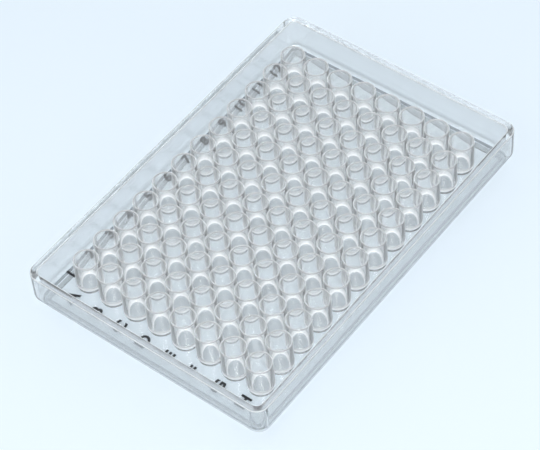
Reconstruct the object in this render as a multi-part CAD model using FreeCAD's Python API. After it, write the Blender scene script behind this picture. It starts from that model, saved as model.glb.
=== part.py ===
import FreeCAD, Part
import math
import os

# Clear 96-well plate, one moulding: a walled tray on a foot ring, with a grid of
# round chimney wells standing on its floor. Millimetres, +Z up, +X along the long
# side. The origin is at the middle of the base, on the surface the plate stands on.

# Tray
PLATE_LENGTH = 127.76
PLATE_WIDTH = 85.48
PLATE_HEIGHT = 14.35
CORNER_RADIUS = 4.0
RIM_WIDTH = 2.2
WALL_FOOT_WIDTH = 2.3
POCKET_CORNER_RADIUS = 2.0
RIM_INNER_ROUND = 0.4
RIM_OUTER_ROUND = 0.4
BOTTOM_EDGE_ROUND = 2.4

# Floor and the foot ring under it, which nests in the rim of a plate below
FLOOR_TOP = 4.2
FLOOR_THICKNESS = 1.2
FOOT_INSET = 3.0
FOOT_WALL = 1.3
FOOT_CORNER_RADIUS = 2.2
FOOT_EDGE_ROUND = 0.3

# Wells. The walls are the plastic round a bore: at its lip, where its chimney meets the
# floor, and in the pad that stands down from the floor's underside by the pad drop.
COLUMNS = 12
ROWS = 8
PITCH = 9.0
LIP_BELOW_RIM = 0.2
LIP_ROUND = 0.2
WELL_MOUTH_DIAMETER = 6.9
WELL_BOTTOM_DIAMETER = 6.35
WELL_CORNER_RADIUS = 0.8
WELL_BOTTOM_THICKNESS = 1.2
LIP_WALL = 0.5
CHIMNEY_BASE_WALL = 0.875
PAD_WALL = 0.525
PAD_DROP = 0.75

# How far a cutting body stands past the face that it opens
CUT_MARGIN = 1.0

Z_AXIS = FreeCAD.Vector(0, 0, 1)


def rounded_rectangle(length, width, radius, z):
    """Closed wire of a rectangle with round corners, centred on the Z axis at height z."""
    half_x = length / 2
    half_y = width / 2
    diagonal = radius * (1 - math.sqrt(0.5))
    edges = []
    for sign_x, sign_y in ((1, 1), (-1, 1), (-1, -1), (1, -1)):
        on_side = FreeCAD.Vector(sign_x * half_x, sign_y * (half_y - radius), z)
        on_arc = FreeCAD.Vector(sign_x * (half_x - diagonal), sign_y * (half_y - diagonal), z)
        on_end = FreeCAD.Vector(sign_x * (half_x - radius), sign_y * half_y, z)
        corner = (on_side, on_arc, on_end)
        if sign_x != sign_y:
            corner = (on_end, on_arc, on_side)
        edges.append(Part.Arc(*corner).toShape())
    for index in range(4):
        start = edges[index].Vertexes[-1].Point
        end = edges[(index + 1) % 4].Vertexes[0].Point
        edges.append(Part.LineSegment(start, end).toShape())
    return Part.Wire(Part.__sortEdges__(edges))


def block(length, width, radius, z_low, z_high):
    """Upright block with round corners."""
    face = Part.Face(rounded_rectangle(length, width, radius, z_low))
    return face.extrude(Z_AXIS * (z_high - z_low))


def edges_at(shape, z, half_x=math.inf, half_y=math.inf):
    """Edges of a shape that lie flat at height z, no further from the Z axis than these halves."""
    near = 1e-6
    found = []
    for edge in shape.Edges:
        box = edge.BoundBox
        flat = abs(box.ZMin - z) < near and abs(box.ZMax - z) < near
        inside_x = max(-box.XMin, box.XMax) < half_x + near
        inside_y = max(-box.YMin, box.YMax) < half_y + near
        if flat and inside_x and inside_y:
            found.append(edge)
    return found


def turned(points_and_arcs):
    """Solid of revolution about Z from (radius, z) points; a 3-tuple of points is an arc."""
    edges = []
    for step in points_and_arcs:
        points = [FreeCAD.Vector(radius, 0, z) for radius, z in step]
        maker = Part.Arc if len(points) == 3 else Part.LineSegment
        edges.append(maker(*points).toShape())
    face = Part.Face(Part.Wire(edges))
    return face.revolve(FreeCAD.Vector(0, 0, 0), Z_AXIS, 360)


def tray():
    """Outer wall, floor and foot ring."""
    floor_underside = FLOOR_TOP - FLOOR_THICKNESS
    outside = block(PLATE_LENGTH, PLATE_WIDTH, CORNER_RADIUS, floor_underside, PLATE_HEIGHT)
    outside = outside.makeFillet(BOTTOM_EDGE_ROUND, edges_at(outside, floor_underside))
    outside = outside.makeFillet(RIM_OUTER_ROUND, edges_at(outside, PLATE_HEIGHT))

    pocket_x = PLATE_LENGTH / 2 - RIM_WIDTH
    pocket_y = PLATE_WIDTH / 2 - RIM_WIDTH
    rim_wire = rounded_rectangle(2 * pocket_x, 2 * pocket_y, POCKET_CORNER_RADIUS, PLATE_HEIGHT)
    foot_wire = rounded_rectangle(PLATE_LENGTH - 2 * WALL_FOOT_WIDTH,
                                  PLATE_WIDTH - 2 * WALL_FOOT_WIDTH,
                                  POCKET_CORNER_RADIUS, FLOOR_TOP)
    pocket = Part.makeLoft([foot_wire, rim_wire], True, True)
    shell = outside.cut(pocket)
    shell = shell.makeFillet(RIM_INNER_ROUND, edges_at(shell, PLATE_HEIGHT, pocket_x, pocket_y))

    foot_length = PLATE_LENGTH - 2 * FOOT_INSET
    foot_width = PLATE_WIDTH - 2 * FOOT_INSET
    ring = block(foot_length, foot_width, FOOT_CORNER_RADIUS, 0, floor_underside)
    ring = ring.cut(block(foot_length - 2 * FOOT_WALL, foot_width - 2 * FOOT_WALL,
                          FOOT_CORNER_RADIUS - FOOT_WALL, -CUT_MARGIN,
                          floor_underside + CUT_MARGIN))
    ring = ring.makeFillet(FOOT_EDGE_ROUND, edges_at(ring, 0))
    return shell.fuse(ring)


def chimney(lip_z, pad_z):
    """Solid body of one well before it is bored: the pad under the floor and the tube above."""
    pad = WELL_BOTTOM_DIAMETER / 2 + PAD_WALL
    base = WELL_BOTTOM_DIAMETER / 2 + CHIMNEY_BASE_WALL
    top = WELL_MOUTH_DIAMETER / 2 + LIP_WALL
    # The tube and the pad meet half way through the floor that they are fused with.
    step_z = FLOOR_TOP - FLOOR_THICKNESS / 2
    mid = LIP_ROUND * (1 - math.sqrt(0.5))
    return turned([
        ((0, pad_z), (pad, pad_z)),
        ((pad, pad_z), (pad, step_z)),
        ((pad, step_z), (base, step_z)),
        ((base, step_z), (base, FLOOR_TOP)),
        ((base, FLOOR_TOP), (top, lip_z - LIP_ROUND)),
        ((top, lip_z - LIP_ROUND), (top - mid, lip_z - mid), (top - LIP_ROUND, lip_z)),
        ((top - LIP_ROUND, lip_z), (0, lip_z)),
        ((0, lip_z), (0, pad_z)),
    ])


def bore(lip_z, bottom_z):
    """Space inside one well: flat bottom with a round corner, tapered wall, rounded mouth."""
    low = WELL_BOTTOM_DIAMETER / 2
    high = WELL_MOUTH_DIAMETER / 2
    corner = WELL_CORNER_RADIUS
    corner_mid = corner * (1 - math.sqrt(0.5))
    mouth = high + LIP_ROUND
    mouth_mid = LIP_ROUND * (1 - math.sqrt(0.5))
    open_z = lip_z + CUT_MARGIN
    return turned([
        ((0, bottom_z), (low - corner, bottom_z)),
        ((low - corner, bottom_z), (low - corner_mid, bottom_z + corner_mid),
         (low, bottom_z + corner)),
        ((low, bottom_z + corner), (high, lip_z - LIP_ROUND)),
        ((high, lip_z - LIP_ROUND), (high + mouth_mid, lip_z - mouth_mid), (mouth, lip_z)),
        ((mouth, lip_z), (mouth, open_z)),
        ((mouth, open_z), (0, open_z)),
        ((0, open_z), (0, bottom_z)),
    ])


def well_centres():
    """Centres of the wells, row by row."""
    return [FreeCAD.Vector((column - (COLUMNS - 1) / 2) * PITCH, ((ROWS - 1) / 2 - row) * PITCH, 0)
            for row in range(ROWS) for column in range(COLUMNS)]


def copies(shape):
    """One copy of a shape at each well centre."""
    placed = []
    for centre in well_centres():
        copy = shape.copy()
        copy.translate(centre)
        placed.append(copy)
    return placed


def well_plate():
    """The whole moulding."""
    lip_z = PLATE_HEIGHT - LIP_BELOW_RIM
    pad_z = FLOOR_TOP - FLOOR_THICKNESS - PAD_DROP
    body = tray().multiFuse(copies(chimney(lip_z, pad_z)))
    body = body.cut(copies(bore(lip_z, pad_z + WELL_BOTTOM_THICKNESS)))
    return body.removeSplitter()


os.makedirs("parts", exist_ok=True)
plate = well_plate()
solids = plate.Solids
print("solids", len(solids), "valid", plate.isValid(), "volume mm3", round(plate.Volume, 1))
print("box", plate.BoundBox)
solids[0].exportStep("parts/well_plate.step")
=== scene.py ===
"""Clear 96-well plate: its looks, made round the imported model.

The object is one moulding of clear polystyrene, a walled tray on a foot ring with a grid of
chimney wells on its floor, and black print on that floor: row letters and column numbers.
"""

import math

import bmesh
import bpy
from mathutils import Matrix, Vector


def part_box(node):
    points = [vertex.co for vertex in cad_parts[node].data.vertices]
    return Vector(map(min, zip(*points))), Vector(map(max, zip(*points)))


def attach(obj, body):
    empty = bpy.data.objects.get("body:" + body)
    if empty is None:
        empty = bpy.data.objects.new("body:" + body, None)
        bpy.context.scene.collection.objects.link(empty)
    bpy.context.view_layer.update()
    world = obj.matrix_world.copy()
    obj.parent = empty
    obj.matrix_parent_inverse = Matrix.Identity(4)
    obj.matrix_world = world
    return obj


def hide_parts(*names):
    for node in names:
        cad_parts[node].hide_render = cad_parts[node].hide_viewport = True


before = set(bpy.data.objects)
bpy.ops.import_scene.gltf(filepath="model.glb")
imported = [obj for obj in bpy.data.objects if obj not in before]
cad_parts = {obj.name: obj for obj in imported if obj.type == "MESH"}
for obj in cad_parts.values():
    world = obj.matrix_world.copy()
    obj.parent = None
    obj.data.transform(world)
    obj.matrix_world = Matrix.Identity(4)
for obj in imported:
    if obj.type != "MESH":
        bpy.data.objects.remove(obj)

bl_info = {
    "name": "Clear 96-well plate",
    "version": (1, 0, 0),
    "blender": (4, 5, 0),
    "location": "3D View > Sidebar > Well plate",
    "description": "Makes a clear moulded well plate with its print, floor, lights and camera",
    "category": "Object",
}

BODY = "root"
CAD_NODE = "well_plate"

CAD_LOW, CAD_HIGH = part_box(CAD_NODE)

# Flat steps in the rounds, and how the meshes are joined and shaded
ARC_STEPS = 3
WELL_CORNER_STEPS = 4
PLATE_CORNER_STEPS = 8
BOTTOM_ROUND_STEPS = 6
MARK_CURVE_STEPS = 3
MERGE_DISTANCE = 2e-6
SHARP_ANGLE = math.radians(32)
LARGE_FACE_WEIGHT = 100

# Height of a capital letter as a share of the font's size
CAP_SHARE = 0.682

# Clear plastic: flow marks and a fine grain in its surface, its gloss, and its frost, whose painted sheen
# grows where a surface is seen along it
PLASTIC_IOR = 1.59
FLOW_STRETCH = (1.0, 1.6, 0.6)
FLOW_SCALE = 180.0
GRAIN_SCALE = 900.0
GRAIN_SHARE = 0.05
GRAIN_DETAIL = 3.0
NOISE_DETAIL = 2.0
BUMP_STRENGTH = 0.03
BUMP_DEPTH = 0.0003
CLEAR_ROUGHNESS = 0.01
GRAIN_ROUGHNESS = 0.02
FROST_ROUGHNESS = 0.35
FACING_BLEND = 0.5
EDGE_POWER = 3.2

# Print
PATCH_SCALE = 2500.0
THIN_INK = 2.2
INK_ROUGHNESS = 0.45
PATCH_ROUGHNESS = 0.25

# Stage
MOTTLE_SCALE = 6.0
MOTTLE_SHADE = 0.99
SHEET_ROUGHNESS = 0.9
SHEET_SPECULAR = 0.1
SENSOR_WIDTH = 36.0
NEAREST_SEEN = 0.01
GLASS_BOUNCES = 48
SHADOW_SURFACES = 64


# ---------------------------------------------------------------- sizes and colours


def length(name, text, default):
    """A length property in metres."""
    return bpy.props.FloatProperty(name=name, description=text, default=default, unit="LENGTH",
                                   subtype="DISTANCE", precision=5)


def colour(name, text, default):
    """An RGB colour property."""
    return bpy.props.FloatVectorProperty(name=name, description=text, default=default, size=3,
                                         subtype="COLOR", min=0, max=1)


def share(name, text, default):
    """A property from 0 to 1."""
    return bpy.props.FloatProperty(name=name, description=text, default=default, min=0, max=1,
                                   subtype="FACTOR")


class TraySizes(bpy.types.PropertyGroup):
    """Sizes of the tray: outer wall, rim, floor and foot ring."""

    plate_length: length("Length", "Outer length along X", CAD_HIGH.x - CAD_LOW.x)
    plate_width: length("Width", "Outer width along Y", CAD_HIGH.y - CAD_LOW.y)
    plate_height: length("Height", "From the base to the rim", CAD_HIGH.z - CAD_LOW.z)
    corner_radius: length("Corner radius", "Round of the four upright corners", 0.0040)
    rim_width: length("Rim width", "Thickness of the wall at the rim", 0.0022)
    wall_foot_width: length("Wall foot", "Thickness of the wall at the floor", 0.0023)
    pocket_radius: length("Pocket radius", "Round of the corners inside the wall", 0.0020)
    rim_inner_round: length("Rim inner round", "Round of the rim's inner edge", 0.0004)
    rim_outer_round: length("Rim outer round", "Round of the rim's outer edge", 0.0004)
    bottom_round: length("Bottom round", "Round of the wall's lower edge", 0.0024)
    floor_top: length("Floor top", "Height of the floor's upper face", 0.0042)
    floor_thickness: length("Floor thickness", "Thickness of the floor", 0.0012)
    foot_inset: length("Foot inset", "From the outer wall in to the foot ring", 0.0030)
    foot_wall: length("Foot wall", "Thickness of the foot ring", 0.0013)
    foot_radius: length("Foot radius", "Round of the foot ring's corners", 0.0022)
    foot_round: length("Foot edge round", "Edge round of the foot ring", 0.0003)


class WellSizes(bpy.types.PropertyGroup):
    """Sizes of the wells and of the grid that they stand on."""

    columns: bpy.props.IntProperty(name="Columns", description="Wells along X", default=12, min=1)
    rows: bpy.props.IntProperty(name="Rows", description="Wells along Y", default=8, min=1)
    sides: bpy.props.IntProperty(name="Sides", description="Flat sides round a well, a multiple of 8",
                                 default=40, min=8)
    pitch: length("Pitch", "From one well to the next", 0.0090)
    lip_below_rim: length("Lip below rim", "Drop from the rim to the lips", 0.0002)
    lip_round: length("Lip round", "Edge round of a lip", 0.0002)
    lip_wall: length("Lip wall", "Plastic round the mouth", 0.0005)
    base_wall: length("Base wall", "Plastic round the bore where its chimney meets the floor", 0.000875)
    pad_wall: length("Pad wall", "Plastic round the bore in the pad under the floor", 0.000525)
    pad_drop: length("Pad drop", "How far a pad stands down from the floor's underside", 0.00075)
    mouth: length("Mouth diameter", "Bore at the lip", 0.0069)
    bottom: length("Bottom diameter", "Bore at its flat bottom", 0.00635)
    bottom_corner: length("Bottom corner", "Round between the bore and its bottom", 0.0008)
    bottom_thickness: length("Bottom thickness", "Plastic under the flat bottom", 0.0012)


class PrintSizes(bpy.types.PropertyGroup):
    """Sizes and places of the printed marks."""

    mark_height: length("Mark height", "Height of a letter or number", 0.0031)
    letter_gap: length("Letter gap", "From the first column out to the letters", 0.00736)
    number_gap: length("Number gap", "From the first row out to the numbers", 0.0060)
    number_shift: length("Number shift", "From a column's middle back to its number", 0.0014)
    ink_thickness: length("Ink thickness", "Thickness of the print", 0.00002)
    ink_lift: length("Ink lift", "Air between the floor and the print", 0.000004)
    boldness: bpy.props.FloatProperty(name="Boldness", description="How far a stroke is widened",
                                      default=0.06, min=0, max=0.1)
    spacing: bpy.props.FloatProperty(name="Spacing", description="Spacing of two digits, 1 is plain",
                                     default=1.25, min=0.5, max=2)


class Finish(bpy.types.PropertyGroup):
    """Colours of the plastic, the print and the floor, and how frosted each part of the plastic is. The grey
    tints of the wall, the slab and the wells' bottoms are painted shade, and the frost is partly haze and
    partly painted highlight and sheen.
    """

    tube: colour("Tube", "Tint of the plastic in the walls of the wells", (0.99, 0.998, 1.0))
    # Painted shade: this grey tint darkens the outer wall as if the floor behind it lay in shade.
    wall: colour("Wall", "Tint of the plastic in the outer wall", (0.82, 0.83, 0.83))
    # Painted shade: this grey tint darkens the floor as if the floor under the plate lay in shade.
    slab_shade: colour("Slab", "Tint of the plastic in the floor", (0.64, 0.65, 0.65))
    # Painted shade: this darker grey makes the wells' flat bottoms look like the shaded floor under them.
    base: colour("Base", "Tint of the plastic in the flat bottoms of the wells", (0.42, 0.43, 0.43))
    # Partly haze and partly painted highlight: this white stands in for light that the clear lips, rims and
    # edges reflect and bend.
    frost_and_highlight: colour("Frost", "Colour of the frosted lips and walls", (0.955, 0.98, 1.0))
    shadow: colour("Shadow", "What each surface leaves of a lamp's light", (0.985, 0.985, 0.985))
    haze: share("Haze", "Share of the light that a surface scatters", 0.03)
    wall_haze: share("Wall haze", "The same on the outer wall", 0.03)
    # Rim, lip and ring haze are partly haze and partly painted highlight: white frost where the clear rounds
    # would catch highlights. Well haze is partly haze and partly painted sheen that brightens the walls of
    # the wells.
    rim_haze_and_highlight: share("Rim haze", "The same on the rounds of the rim", 0.50)
    well_haze_and_sheen: share("Well haze", "The same on the walls of the wells", 0.09)
    lip_haze_and_highlight: share("Lip haze", "The same on the lips", 0.28)
    ring_haze_and_highlight: share("Ring haze", "The same round a well's flat bottom", 0.95)
    # Edge haze and wall edge haze are partly haze and partly painted sheen: more white frost where a wall is
    # seen along its surface, in place of the light that it reflects there.
    edge_haze_and_sheen: share("Edge haze", "What a wall of a well gains where it is seen along its surface", 0.90)
    wall_edge_haze_and_sheen: share("Wall edge haze", "What the outer wall gains there", 0.15)
    ink: colour("Ink", "Colour of the print", (0.012, 0.013, 0.016))
    floor: colour("Floor", "Colour of the floor that the plate stands on", (0.79, 0.885, 0.97))


class StudioSizes(bpy.types.PropertyGroup):
    """The light all round, and the two lamps."""

    reach: length("Floor reach", "From the plate out to the floor's edges", 4.0)
    sky: colour("Sky", "Colour of the light all round", (0.96, 0.985, 1.0))
    sky_strength: bpy.props.FloatProperty(name="Sky strength", description="Strength of the light all round",
                                          default=0.63, min=0)
    key_place: bpy.props.FloatVectorProperty(name="Key lamp", description="Where the key lamp hangs",
                                             default=(-0.48, -0.48, 1.15), subtype="XYZ", unit="LENGTH")
    key_size: length("Key size", "Side of the key lamp", 0.40)
    key_power: bpy.props.FloatProperty(name="Key power", description="Power of the key lamp in watts",
                                       default=9.2, min=0, unit="POWER")
    side_place: bpy.props.FloatVectorProperty(name="Side lamp", description="Where the side lamp hangs",
                                              default=(-0.62, 0.05, 0.52), subtype="XYZ", unit="LENGTH")
    side_size: length("Side size", "Side of the side lamp", 0.60)
    side_power: bpy.props.FloatProperty(name="Side power", description="Power of the side lamp in watts",
                                        default=0.3, min=0, unit="POWER")


class CameraSizes(bpy.types.PropertyGroup):
    """Where the camera stands and what it points at."""

    azimuth: bpy.props.FloatProperty(name="Azimuth", description="0 looks along +Y, 90 along -X",
                                     default=math.radians(-48.88), subtype="ANGLE")
    elevation: bpy.props.FloatProperty(name="Elevation", description="Angle above the horizon",
                                       default=math.radians(50.47), subtype="ANGLE")
    roll: bpy.props.FloatProperty(name="Roll", description="Turn about the line of sight",
                                  default=math.radians(-4.81), subtype="ANGLE")
    distance: length("Distance", "From the aim point to the camera", 0.6071)
    aim: bpy.props.FloatVectorProperty(name="Aim", description="Point that the camera looks at",
                                       default=(-0.0045, -0.0004, 0.0070), subtype="XYZ", unit="LENGTH")
    lens: bpy.props.FloatProperty(name="Lens", description="Focal length in millimetres on a 36 mm sensor",
                                  default=137.4, min=20)


class WellPlateSettings(bpy.types.PropertyGroup):
    """All that a user would change, group by group."""

    tray: bpy.props.PointerProperty(type=TraySizes)
    wells: bpy.props.PointerProperty(type=WellSizes)
    marks: bpy.props.PointerProperty(type=PrintSizes)
    finish: bpy.props.PointerProperty(type=Finish)
    studio: bpy.props.PointerProperty(type=StudioSizes)
    camera: bpy.props.PointerProperty(type=CameraSizes)


def settings():
    """The settings of the scene that is open."""
    return bpy.context.scene.well_plate


# ---------------------------------------------------------------- nodes written as maths


class Value:
    """A node's socket. Python's operators on it add the Math nodes that they stand for."""

    def __init__(self, nodes, socket):
        self.nodes = nodes
        self.socket = socket

    def maths(self, operation, *operands):
        """The output of a Math node with these operands, in their order."""
        node = self.nodes.add("ShaderNodeMath", {"operation": operation}, dict(enumerate(operands)))
        return self.nodes.value(node)

    def __add__(self, other):
        return self.maths("ADD", self, other)

    def __radd__(self, other):
        return self.maths("ADD", other, self)

    def __sub__(self, other):
        return self.maths("SUBTRACT", self, other)

    def __rsub__(self, other):
        return self.maths("SUBTRACT", other, self)

    def __mul__(self, other):
        return self.maths("MULTIPLY", self, other)

    def __rmul__(self, other):
        return self.maths("MULTIPLY", other, self)

    def __truediv__(self, other):
        return self.maths("DIVIDE", self, other)

    def __rtruediv__(self, other):
        return self.maths("DIVIDE", other, self)

    def __lt__(self, other):
        return self.maths("LESS_THAN", self, other)

    def __gt__(self, other):
        return self.maths("GREATER_THAN", self, other)

    def __abs__(self):
        return self.maths("ABSOLUTE", self)


class Nodes:
    """Adds nodes to one tree, of a material or of Geometry Nodes."""

    def __init__(self, tree):
        self.tree = tree
        tree.nodes.clear()

    def add(self, kind, options=(), inputs=()):
        """A node of this type, with its options set first and then its sockets' values or links."""
        node = self.tree.nodes.new(kind)
        for name, option in dict(options).items():
            if name == "items":
                while len(node.index_switch_items) < option:
                    node.index_switch_items.new()
            else:
                setattr(node, name, option)
        for name, given in dict(inputs).items():
            for source in given if isinstance(given, list) else [given]:
                self.connect(node.inputs[name], source)
        return node

    def connect(self, socket, source):
        """Links a socket to a value, or sets it to a plain number, vector or colour."""
        if isinstance(source, Value):
            self.tree.links.new(source.socket, socket)
        else:
            socket.default_value = source

    def value(self, node, output=0):
        """One output of a node."""
        return Value(self, node.outputs[output])

    def get(self, kind, options=(), inputs=(), output=0):
        """One output of a new node."""
        return self.value(self.add(kind, options, inputs), output)


# ---------------------------------------------------------------- the wells, in Geometry Nodes

WELL_INPUTS = (
    ("Columns", "NodeSocketInt"),
    ("Rows", "NodeSocketInt"),
    ("Sides", "NodeSocketInt"),
    ("Pitch", "NodeSocketFloat"),
    ("Lip Height", "NodeSocketFloat"),
    ("Lip Round", "NodeSocketFloat"),
    ("Lip Wall", "NodeSocketFloat"),
    ("Base Wall", "NodeSocketFloat"),
    ("Pad Wall", "NodeSocketFloat"),
    ("Pad Height", "NodeSocketFloat"),
    ("Mouth Radius", "NodeSocketFloat"),
    ("Bottom Radius", "NodeSocketFloat"),
    ("Bottom Corner", "NodeSocketFloat"),
    ("Bottom Height", "NodeSocketFloat"),
    ("Floor Top", "NodeSocketFloat"),
    ("Floor Underside", "NodeSocketFloat"),
    ("Material", "NodeSocketMaterial"),
)


def arc(centre_r, centre_z, radius, start, end, steps):
    """Points of an arc in a well's section, from one angle to another in degrees."""
    points = []
    for step in range(steps + 1):
        angle = math.radians(start + (end - start) * step / steps)
        points.append((centre_r + radius * round(math.cos(angle), 9),
                       centre_z + radius * round(math.sin(angle), 9)))
    return points


def turned_sheet(nodes, points, sides):
    """Section points turned about Z.

    The first one makes a square instead of a circle, so that sheets side by side join up. A grid is
    bent into the sheet: its X counts the points of the section and its Y is the share of a turn.
    The quarter keeps each count clear of the whole number where it would round down.
    """
    strips = len(points) - 1
    grid = nodes.add("GeometryNodeMeshGrid", inputs={
        "Size X": float(strips), "Size Y": 1.0,
        "Vertices X": strips + 1, "Vertices Y": sides + 1})
    place = nodes.add("ShaderNodeSeparateXYZ", inputs={0: nodes.get("GeometryNodeInputPosition")})
    number = nodes.value(place, "X") + (strips / 2 + 0.25)
    turn = nodes.value(place, "Y") * math.tau
    cosine = turn.maths("COSINE", turn)
    sine = turn.maths("SINE", turn)
    section = nodes.add("GeometryNodeIndexSwitch", {"data_type": "VECTOR", "items": len(points)},
                        {"Index": number.maths("FLOOR", number)})
    for slot, (radius, height) in enumerate(points):
        nodes.connect(section.inputs[slot + 1],
                      nodes.get("ShaderNodeCombineXYZ", inputs={"X": radius, "Z": height}))
    point = nodes.add("ShaderNodeSeparateXYZ", inputs={0: nodes.value(section)})
    first = number < 0.5
    longest = abs(cosine).maths("MAXIMUM", abs(cosine), abs(sine))
    reach = nodes.value(point, "X") * (1 + first * (1 / longest - 1))
    moved = nodes.get("ShaderNodeCombineXYZ", inputs={
        "X": reach * cosine, "Y": reach * sine, "Z": nodes.value(point, "Z")})
    return nodes.get("GeometryNodeSetPosition",
                     inputs={"Geometry": nodes.value(grid, "Mesh"), "Position": moved})


def well_tree():
    """Geometry Nodes that add a grid of wells to the tray's open sheet and close it."""
    tree = bpy.data.node_groups.new("Wells", "GeometryNodeTree")
    tree.interface.new_socket("Geometry", in_out="INPUT", socket_type="NodeSocketGeometry")
    tree.interface.new_socket("Geometry", in_out="OUTPUT", socket_type="NodeSocketGeometry")
    for name, kind in WELL_INPUTS:
        tree.interface.new_socket(name, in_out="INPUT", socket_type=kind)
    nodes = Nodes(tree)
    group = nodes.add("NodeGroupInput")
    size = {name: nodes.value(group, name) for name, _ in WELL_INPUTS}

    half = size["Pitch"] / 2
    lip = size["Lip Height"]
    soft = size["Lip Round"]
    mouth = size["Mouth Radius"]
    bottom = size["Bottom Radius"]
    corner = size["Bottom Corner"]
    outside = mouth + size["Lip Wall"]
    inside_and_lip = (
        [(half, size["Floor Top"]), (bottom + size["Base Wall"], size["Floor Top"])]
        + arc(outside - soft, lip - soft, soft, 0, 90, ARC_STEPS)
        + arc(mouth + soft, lip - soft, soft, 90, 180, ARC_STEPS)
        + arc(bottom - corner, size["Bottom Height"] + corner, corner, 0, -90, WELL_CORNER_STEPS)
        + [(0.0, size["Bottom Height"])]
    )
    pad_radius = bottom + size["Pad Wall"]
    underneath = [(half, size["Floor Underside"]), (pad_radius, size["Floor Underside"]),
                  (pad_radius, size["Pad Height"]), (0.0, size["Pad Height"])]
    sheets = [turned_sheet(nodes, inside_and_lip, size["Sides"]),
              turned_sheet(nodes, underneath, size["Sides"])]
    well = nodes.get("GeometryNodeJoinGeometry", inputs={0: sheets})

    places = nodes.get("GeometryNodeMeshGrid", output="Mesh", inputs={
        "Size X": (size["Columns"] - 1) * size["Pitch"],
        "Size Y": (size["Rows"] - 1) * size["Pitch"],
        "Vertices X": size["Columns"], "Vertices Y": size["Rows"]})
    wells = nodes.get("GeometryNodeInstanceOnPoints", inputs={"Points": places, "Instance": well})
    field = nodes.get("GeometryNodeRealizeInstances", inputs={"Geometry": wells})
    whole = nodes.get("GeometryNodeJoinGeometry", inputs={0: [nodes.value(group, "Geometry"), field]})
    closed = nodes.get("GeometryNodeMergeByDistance",
                       inputs={"Geometry": whole, "Distance": MERGE_DISTANCE})
    real = nodes.get("GeometryNodeRealizeInstances", inputs={"Geometry": closed})
    painted = nodes.get("GeometryNodeSetMaterial",
                        inputs={"Geometry": real, "Material": size["Material"]})
    nodes.add("NodeGroupOutput", inputs={"Geometry": painted})
    return tree


def set_inputs(modifier, values):
    """Sets a Geometry Nodes modifier's inputs, found by name, by their identifiers."""
    for item in modifier.node_group.interface.items_tree:
        if item.item_type == "SOCKET" and item.in_out == "INPUT" and item.name in values:
            modifier[item.identifier] = values[item.name]


# ---------------------------------------------------------------- the tray's sheet


def side_stations(count, pitch, sides):
    """Places along one side of the well field where the edges of its cells have their points."""
    eighth = sides // 8
    within = [math.tan(math.pi / 4 * step / eighth) * pitch / 2 for step in range(-eighth, eighth)]
    start = -(count - 1) / 2 * pitch
    return [start + cell * pitch + step for cell in range(count) for step in within] + [count * pitch / 2]


def round_loop(half_x, half_y, radius, height, along_x, along_y):
    """Points of a rectangle with round corners, anticlockwise, with its sides' points at set stations."""
    points = []
    for quarter in range(4):
        across, along = (half_x, along_y) if quarter % 2 == 0 else (half_y, along_x)
        reach = (half_y, half_x)[quarter % 2] - radius
        turn = Matrix.Rotation(quarter * math.pi / 2, 3, "Z")
        for station in along:
            points.append(turn @ Vector((across, station, height)))
        for step in range(PLATE_CORNER_STEPS + 1):
            angle = math.pi / 2 * step / PLATE_CORNER_STEPS
            points.append(turn @ Vector((across - radius + radius * math.cos(angle),
                                         reach + radius * math.sin(angle), height)))
    return points


def tray_section(tray):
    """The tray's section outside the well field, from the floor's top over the rim to its underside.

    Each entry is (inset from the outer wall, height, corner radius).
    """
    underside = tray.floor_top - tray.floor_thickness
    outer = tray.corner_radius
    inner = tray.pocket_radius
    section = [(tray.wall_foot_width, tray.floor_top, inner)]
    soft = tray.rim_inner_round
    for inset, height in arc(tray.rim_width - soft, tray.plate_height - soft, soft, 0, 90, ARC_STEPS):
        section.append((inset, height, inner + tray.rim_width - inset))
    soft = tray.rim_outer_round
    for inset, height in arc(soft, tray.plate_height - soft, soft, 90, 180, ARC_STEPS):
        section.append((inset, height, outer - inset))
    for inset, height in arc(tray.bottom_round, underside + tray.bottom_round, tray.bottom_round,
                             180, 270, BOTTOM_ROUND_STEPS):
        section.append((inset, height, outer - inset))
    foot_outside = tray.foot_inset + tray.foot_round
    foot_inside = tray.foot_inset + tray.foot_wall - tray.foot_round
    section.append((tray.foot_inset, underside, tray.foot_radius))
    for inset, height in arc(foot_outside, tray.foot_round, tray.foot_round, 180, 270, ARC_STEPS):
        section.append((inset, height, tray.foot_radius - (inset - tray.foot_inset)))
    for inset, height in arc(foot_inside, tray.foot_round, tray.foot_round, 270, 360, ARC_STEPS):
        section.append((inset, height, tray.foot_radius - (inset - tray.foot_inset)))
    section.append((tray.foot_inset + tray.foot_wall, underside, tray.foot_radius - tray.foot_wall))
    return section


def tray_sheet(tray, wells):
    """Mesh of the tray from the edge of the well field's top, round the wall and foot, to its underside."""
    along_x = side_stations(wells.columns, wells.pitch, wells.sides)
    along_y = side_stations(wells.rows, wells.pitch, wells.sides)
    field = (wells.columns * wells.pitch / 2, wells.rows * wells.pitch / 2)
    underside = tray.floor_top - tray.floor_thickness
    loops = [round_loop(*field, 0, tray.floor_top, along_x, along_y)]
    for inset, height, radius in tray_section(tray):
        loops.append(round_loop(tray.plate_length / 2 - inset, tray.plate_width / 2 - inset, radius, height,
                                along_x, along_y))
    loops.append(round_loop(*field, 0, underside, along_x, along_y))

    sheet = bmesh.new()
    rings = [[sheet.verts.new(point) for point in loop] for loop in loops]
    for ring, next_ring in zip(rings, rings[1:]):
        for index in range(len(ring)):
            following = (index + 1) % len(ring)
            sheet.faces.new((ring[index], ring[following], next_ring[following], next_ring[index]))
    bmesh.ops.remove_doubles(sheet, verts=sheet.verts, dist=MERGE_DISTANCE)
    mesh = bpy.data.meshes.new("tray_sheet")
    sheet.to_mesh(mesh)
    sheet.free()
    return mesh


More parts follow.
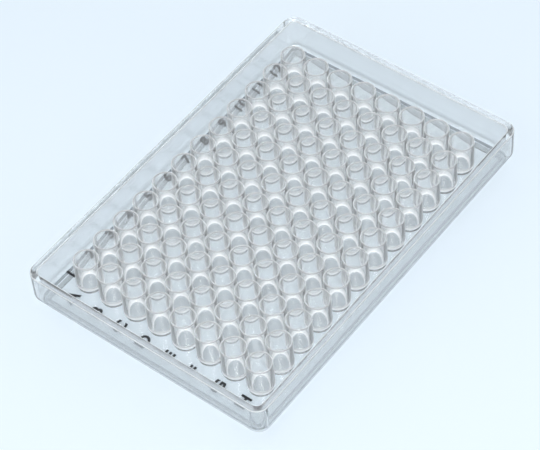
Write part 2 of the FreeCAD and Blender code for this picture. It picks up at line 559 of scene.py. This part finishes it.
def finish_mesh(mesh):
    """Turns the faces outwards, shades them smooth and keeps real edges sharp. The mesh has to be closed."""
    work = bmesh.new()
    work.from_mesh(mesh)
    open_edges = sum(not edge.is_manifold for edge in work.edges)
    if open_edges:
        raise RuntimeError(f"{mesh.name} isn't closed: {open_edges} open edges")
    bmesh.ops.recalc_face_normals(work, faces=work.faces)
    work.to_mesh(mesh)
    work.free()
    mesh.polygons.foreach_set("use_smooth", [True] * len(mesh.polygons))
    mesh.set_sharp_from_angle(angle=SHARP_ANGLE)


def new_object(name, data):
    """An object in the scene that holds this mesh, curve, light or camera."""
    made = bpy.data.objects.new(name, data)
    bpy.context.scene.collection.objects.link(made)
    return made


def plain_mesh(carrier):
    """The mesh that an object comes to with its modifiers. The object is removed."""
    graph = bpy.context.evaluated_depsgraph_get()
    mesh = bpy.data.meshes.new_from_object(carrier.evaluated_get(graph))
    carrier.modifiers.clear()
    bpy.data.objects.remove(carrier)
    return mesh


def paint(mesh, material):
    """Gives the whole mesh this one material."""
    mesh.materials.clear()
    mesh.materials.append(material)
    mesh.polygons.foreach_set("material_index", [0] * len(mesh.polygons))


def weigh_normals(mesh):
    """The mesh with normals that its large faces rule, so that walls stay straight beside small rounds."""
    carrier = new_object("normals_work", mesh)
    modifier = carrier.modifiers.new("Weighted normals", "WEIGHTED_NORMAL")
    modifier.mode = "FACE_AREA"
    modifier.weight = LARGE_FACE_WEIGHT
    modifier.keep_sharp = True
    return plain_mesh(carrier)


# ---------------------------------------------------------------- materials


def new_material(name):
    """An empty material and the nodes of its tree."""
    material = bpy.data.materials.new(name)
    material.use_nodes = True
    return material, Nodes(material.node_tree)


def rgba(rgb):
    """A colour with full alpha."""
    return (*rgb, 1.0)


def rise(nodes, value, low, high):
    """0 below low, 1 above high and a smooth step between them."""
    return nodes.get("ShaderNodeMapRange", {"interpolation_type": "SMOOTHSTEP"},
                     {"Value": value, "From Min": low, "From Max": high})


def mixed(nodes, factor, first, second):
    """A mix of two colours, by a factor from 0 to 1."""
    return nodes.get("ShaderNodeMix", {"data_type": "RGBA"},
                     {"Factor": factor, "A": first, "B": second}, output="Result")


def moulding_masks(nodes, place, tray, wells):
    """Masks of the moulding's parts, by name, from the place of a point on it.

    well and wall are what stands above the floor, inside and outside the well field, lip and rim
    are their tops, base is a well's flat bottom and the pad under it, and ring is the round corner at
    that bottom's edge with the plastic round it.
    """
    x, y, z = (nodes.value(place, axis) for axis in "XYZ")
    half = wells.pitch / 2
    first_x = -(wells.columns - 1) * half
    first_y = -(wells.rows - 1) * half
    along = x.maths("WRAP", x - first_x, half, -half)
    across = y.maths("WRAP", y - first_y, half, -half)
    radius = along.maths("SQRT", along * along + across * across)
    field = (abs(x) < wells.columns * half) * (abs(y) < wells.rows * half)

    lip_height = tray.plate_height - wells.lip_below_rim
    bottom_height = tray.floor_top - tray.floor_thickness - wells.pad_drop + wells.bottom_thickness
    corner = wells.bottom_corner
    above_floor = rise(nodes, z, tray.floor_top, tray.floor_top + 2 * corner)
    lip = rise(nodes, z, lip_height - 3 * wells.lip_round, lip_height - wells.lip_round)
    rim_round = tray.rim_inner_round
    rim = (rise(nodes, z, tray.plate_height - rim_round, tray.plate_height - rim_round / 2)
           * (z < tray.plate_height - rim_round / 16))
    flat = wells.bottom / 2 - corner
    ring = (rise(nodes, radius, flat + corner / 8, flat + corner / 2)
            * (radius < wells.bottom / 2 + wells.base_wall)
            * (z > bottom_height - corner / 4) * (1 - above_floor))
    base = field * (radius < flat + corner / 4) * (1 - above_floor)
    return {"well": field * above_floor, "base": base, "lip": field * lip, "ring": field * ring,
            "wall": (1 - field) * above_floor, "rim": (1 - field) * rim}


def clear_polystyrene(finish, tray, wells):
    """Clear moulded plastic: faint flow marks in its surface; grey tints paint the shade under and behind
    the plate into the floor, the wells' bottoms and the outer wall, and white frost on the rim, lips, rings
    and grazing edges is partly haze and partly painted highlight and sheen.
    """
    material, nodes = new_material("clear_polystyrene")
    where = nodes.get("ShaderNodeTexCoord", output="Object")
    place = nodes.add("ShaderNodeSeparateXYZ", inputs={0: where})
    flow = nodes.get("ShaderNodeTexNoise", inputs={
        "Vector": nodes.get("ShaderNodeMapping", inputs={"Vector": where, "Scale": FLOW_STRETCH}),
        "Scale": FLOW_SCALE, "Detail": NOISE_DETAIL})
    grain = nodes.get("ShaderNodeTexNoise", inputs={
        "Vector": where, "Scale": GRAIN_SCALE, "Detail": GRAIN_DETAIL})
    bump = nodes.get("ShaderNodeBump", inputs={
        "Strength": BUMP_STRENGTH, "Distance": BUMP_DEPTH,
        "Height": flow * (1 - GRAIN_SHARE) + grain * GRAIN_SHARE})
    mask = moulding_masks(nodes, place, tray, wells)
    # Painted shade: grey tints darken the floor, the wells' flat bottoms and the outer wall, in place of the
    # shade under and behind the plate.
    tint_and_shade = mixed(nodes, mask["wall"], rgba(finish.slab_shade), rgba(finish.wall))
    tint_and_shade = mixed(nodes, mask["base"], tint_and_shade, rgba(finish.base))
    tint_and_shade = mixed(nodes, mask["well"], tint_and_shade, rgba(finish.tube))
    glass = nodes.get("ShaderNodeBsdfPrincipled", inputs={
        "Base Color": tint_and_shade, "Roughness": CLEAR_ROUGHNESS + grain * GRAIN_ROUGHNESS, "IOR": PLASTIC_IOR,
        "Transmission Weight": 1.0, "Normal": bump})
    frost_and_highlight = nodes.get("ShaderNodeBsdfPrincipled", inputs={
        "Base Color": rgba(finish.frost_and_highlight), "Roughness": FROST_ROUGHNESS, "IOR": PLASTIC_IOR,
        "Normal": bump})
    # Painted sheen: the share of white frost grows where a surface is seen along it.
    facing = nodes.get("ShaderNodeLayerWeight", inputs={"Blend": FACING_BLEND}, output="Facing")
    along = facing.maths("POWER", facing, EDGE_POWER)
    # Share of white frost: partly haze, partly painted highlight on the rim, lips and rings, and painted
    # sheen on the wells' walls and at grazing edges.
    haze = (finish.haze + mask["wall"] * (finish.wall_haze - finish.haze)
            + mask["rim"] * (finish.rim_haze_and_highlight - finish.wall_haze)
            + mask["well"] * (finish.well_haze_and_sheen - finish.haze)
            + mask["lip"] * (finish.lip_haze_and_highlight - finish.well_haze_and_sheen) + mask["ring"] * finish.ring_haze_and_highlight
            + along * (mask["well"] * finish.edge_haze_and_sheen + (1 - mask["well"]) * finish.wall_edge_haze_and_sheen))
    body = nodes.get("ShaderNodeMixShader", inputs={0: haze, 1: glass, 2: frost_and_highlight})
    shadow = nodes.get("ShaderNodeBsdfTransparent", inputs={"Color": rgba(finish.shadow)})
    lamp = nodes.get("ShaderNodeLightPath", output="Is Shadow Ray")
    shown = nodes.get("ShaderNodeMixShader", inputs={0: lamp, 1: body, 2: shadow})
    nodes.add("ShaderNodeOutputMaterial", inputs={"Surface": shown})
    return material


def black_ink(finish):
    """Matt black pad print, a little thin in places."""
    material, nodes = new_material("black_ink")
    where = nodes.get("ShaderNodeTexCoord", output="Object")
    patches = nodes.get("ShaderNodeTexNoise", inputs={
        "Vector": where, "Scale": PATCH_SCALE, "Detail": NOISE_DETAIL})
    shade = mixed(nodes, patches, rgba(finish.ink), rgba([part * THIN_INK for part in finish.ink]))
    ink = nodes.get("ShaderNodeBsdfPrincipled", inputs={
        "Base Color": shade, "Roughness": INK_ROUGHNESS + patches * PATCH_ROUGHNESS})
    nodes.add("ShaderNodeOutputMaterial", inputs={"Surface": ink})
    return material


def studio_floor(finish):
    """Smooth pale sheet with a barely visible mottle."""
    material, nodes = new_material("studio_floor")
    where = nodes.get("ShaderNodeTexCoord", output="Object")
    mottle = nodes.get("ShaderNodeTexNoise", inputs={
        "Vector": where, "Scale": MOTTLE_SCALE, "Detail": NOISE_DETAIL})
    shade = mixed(nodes, mottle, rgba(finish.floor), rgba([part * MOTTLE_SHADE for part in finish.floor]))
    sheet = nodes.get("ShaderNodeBsdfPrincipled", inputs={
        "Base Color": shade, "Roughness": SHEET_ROUGHNESS, "Specular IOR Level": SHEET_SPECULAR})
    nodes.add("ShaderNodeOutputMaterial", inputs={"Surface": sheet})
    return material


# ---------------------------------------------------------------- operators


class WELLPLATE_OT_moulding(bpy.types.Operator):
    """Makes the clear moulding: the tray's sheet, with a grid of wells added and closed by Geometry Nodes"""

    bl_idname = "well_plate.moulding"
    bl_label = "Clear moulding"

    def execute(self, context):
        tray, wells = settings().tray, settings().wells
        material = clear_polystyrene(settings().finish, tray, wells)
        carrier = new_object("moulding_work", tray_sheet(tray, wells))
        pad_height = tray.floor_top - tray.floor_thickness - wells.pad_drop
        modifier = carrier.modifiers.new("Wells", "NODES")
        modifier.node_group = well_tree()
        set_inputs(modifier, {
            "Columns": wells.columns, "Rows": wells.rows, "Sides": wells.sides, "Pitch": wells.pitch,
            "Lip Height": tray.plate_height - wells.lip_below_rim, "Lip Round": wells.lip_round,
            "Lip Wall": wells.lip_wall, "Base Wall": wells.base_wall, "Pad Wall": wells.pad_wall,
            "Pad Height": pad_height, "Mouth Radius": wells.mouth / 2, "Bottom Radius": wells.bottom / 2,
            "Bottom Corner": wells.bottom_corner, "Bottom Height": pad_height + wells.bottom_thickness,
            "Floor Top": tray.floor_top, "Floor Underside": tray.floor_top - tray.floor_thickness,
            "Material": material})
        mesh = plain_mesh(carrier)
        finish_mesh(mesh)
        mesh = weigh_normals(mesh)
        paint(mesh, material)
        mesh.name = "moulding"
        moulding = new_object("moulding", mesh)
        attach(moulding, BODY)
        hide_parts(CAD_NODE)
        return {"FINISHED"}


def mark_mesh(text, marks):
    """One printed mark as a flat solid, centred on the origin."""
    curve = bpy.data.curves.new("mark", "FONT")
    curve.body = text
    curve.align_x = "CENTER"
    curve.align_y = "CENTER"
    curve.size = marks.mark_height / CAP_SHARE
    curve.space_character = marks.spacing
    curve.offset = marks.boldness * marks.mark_height
    curve.extrude = marks.ink_thickness / 2
    curve.resolution_u = MARK_CURVE_STEPS
    mesh = plain_mesh(new_object("mark_work", curve))
    bpy.data.curves.remove(curve)
    return mesh


def print_piece(name, marks_and_places, material):
    """One piece of many marks: a list of (text, x, y) on the tray's floor."""
    tray, marks = settings().tray, settings().marks
    height = tray.floor_top + marks.ink_lift + marks.ink_thickness / 2
    whole = bmesh.new()
    for text, x, y in marks_and_places:
        mesh = mark_mesh(text, marks)
        mesh.transform(Matrix.Translation((x, y, height)))
        whole.from_mesh(mesh)
        bpy.data.meshes.remove(mesh)
    bmesh.ops.remove_doubles(whole, verts=whole.verts, dist=MERGE_DISTANCE)
    bmesh.ops.recalc_face_normals(whole, faces=whole.faces)
    joined = bpy.data.meshes.new(name)
    whole.to_mesh(joined)
    whole.free()
    paint(joined, material)
    piece = new_object(name, joined)
    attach(piece, BODY)


class WELLPLATE_OT_print(bpy.types.Operator):
    """Prints the row letters and the column numbers on the floor, beside the first column and row"""

    bl_idname = "well_plate.print"
    bl_label = "Row letters and column numbers"

    def execute(self, context):
        wells, marks = settings().wells, settings().marks
        ink = black_ink(settings().finish)
        first_x = -(wells.columns - 1) / 2 * wells.pitch
        first_y = (wells.rows - 1) / 2 * wells.pitch
        letters = [(chr(ord("A") + row), first_x - marks.letter_gap, first_y - row * wells.pitch)
                   for row in range(wells.rows)]
        numbers = [(str(column + 1), first_x + column * wells.pitch - marks.number_shift,
                    first_y + marks.number_gap)
                   for column in range(wells.columns)]
        print_piece("row_letters", letters, ink)
        print_piece("column_numbers", numbers, ink)
        return {"FINISHED"}


def soft_light(name, place, size, power):
    """A square soft light that faces the middle of the plate's base."""
    light = bpy.data.lights.new(name, "AREA")
    light.size = size
    light.energy = power
    made = new_object(name, light)
    made.location = place
    made.rotation_mode = "QUATERNION"
    made.rotation_quaternion = Vector(place).to_track_quat("Z", "Y")


def add_floor(reach, finish):
    """The pale floor that the plate stands on."""
    mesh = bpy.data.meshes.new("studio_floor")
    mesh.from_pydata([(-reach, -reach, 0), (reach, -reach, 0), (reach, reach, 0), (-reach, reach, 0)],
                     [], [(0, 1, 2, 3)])
    mesh.materials.append(studio_floor(finish))
    new_object("studio_floor", mesh)


def add_sky(scene, studio):
    """The even light all round."""
    world = bpy.data.worlds.new("studio")
    world.use_nodes = True
    nodes = Nodes(world.node_tree)
    sky = nodes.get("ShaderNodeBackground", inputs={
        "Color": rgba(studio.sky), "Strength": studio.sky_strength})
    nodes.add("ShaderNodeOutputWorld", inputs={"Surface": sky})
    scene.world = world


def add_camera(scene, view):
    """The scene's camera."""
    toward = Vector((math.sin(view.azimuth) * math.cos(view.elevation),
                     -math.cos(view.azimuth) * math.cos(view.elevation),
                     math.sin(view.elevation)))
    camera = bpy.data.cameras.new("camera")
    camera.lens = view.lens
    camera.sensor_width = SENSOR_WIDTH
    camera.clip_start = NEAREST_SEEN
    made = new_object("camera", camera)
    made.rotation_mode = "QUATERNION"
    upright = toward.to_track_quat("Z", "Y")
    made.rotation_quaternion = upright @ Matrix.Rotation(view.roll, 3, "Z").to_quaternion()
    made.location = Vector(view.aim) + toward * view.distance
    scene.camera = made


class WELLPLATE_OT_stage(bpy.types.Operator):
    """Makes the pale floor, the soft studio light and the camera"""

    bl_idname = "well_plate.stage"
    bl_label = "Stage"

    def execute(self, context):
        scene, studio = context.scene, settings().studio
        add_floor(studio.reach, settings().finish)
        add_sky(scene, studio)
        soft_light("key_light", studio.key_place, studio.key_size, studio.key_power)
        soft_light("side_light", studio.side_place, studio.side_size, studio.side_power)
        add_camera(scene, settings().camera)
        scene.view_settings.view_transform = "Standard"
        scene.cycles.max_bounces = GLASS_BOUNCES
        scene.cycles.transmission_bounces = GLASS_BOUNCES
        scene.cycles.transparent_max_bounces = SHADOW_SURFACES
        return {"FINISHED"}


class WELLPLATE_PT_panel(bpy.types.Panel):
    """Lists the steps that make the well plate"""

    bl_idname = "WELLPLATE_PT_panel"
    bl_label = "Well plate"
    bl_space_type = "VIEW_3D"
    bl_region_type = "UI"
    bl_category = "Well plate"

    def draw(self, context):
        for operator in OPERATORS:
            self.layout.operator(operator.bl_idname)


OPERATORS = (WELLPLATE_OT_stage, WELLPLATE_OT_moulding, WELLPLATE_OT_print)
CLASSES = (TraySizes, WellSizes, PrintSizes, Finish, StudioSizes, CameraSizes, WellPlateSettings,
           *OPERATORS, WELLPLATE_PT_panel)


def register():
    """Registers the classes and the scene's settings."""
    for made in CLASSES:
        bpy.utils.register_class(made)
    bpy.types.Scene.well_plate = bpy.props.PointerProperty(type=WellPlateSettings)


def unregister():
    """Takes the settings and the classes away again."""
    del bpy.types.Scene.well_plate
    for made in reversed(CLASSES):
        bpy.utils.unregister_class(made)


def main():
    """Registers the settings and makes the stage, the moulding and the print."""
    register()
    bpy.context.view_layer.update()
    bpy.ops.well_plate.stage()
    bpy.ops.well_plate.moulding()
    bpy.ops.well_plate.print()


if __name__ == "__main__":
    main()
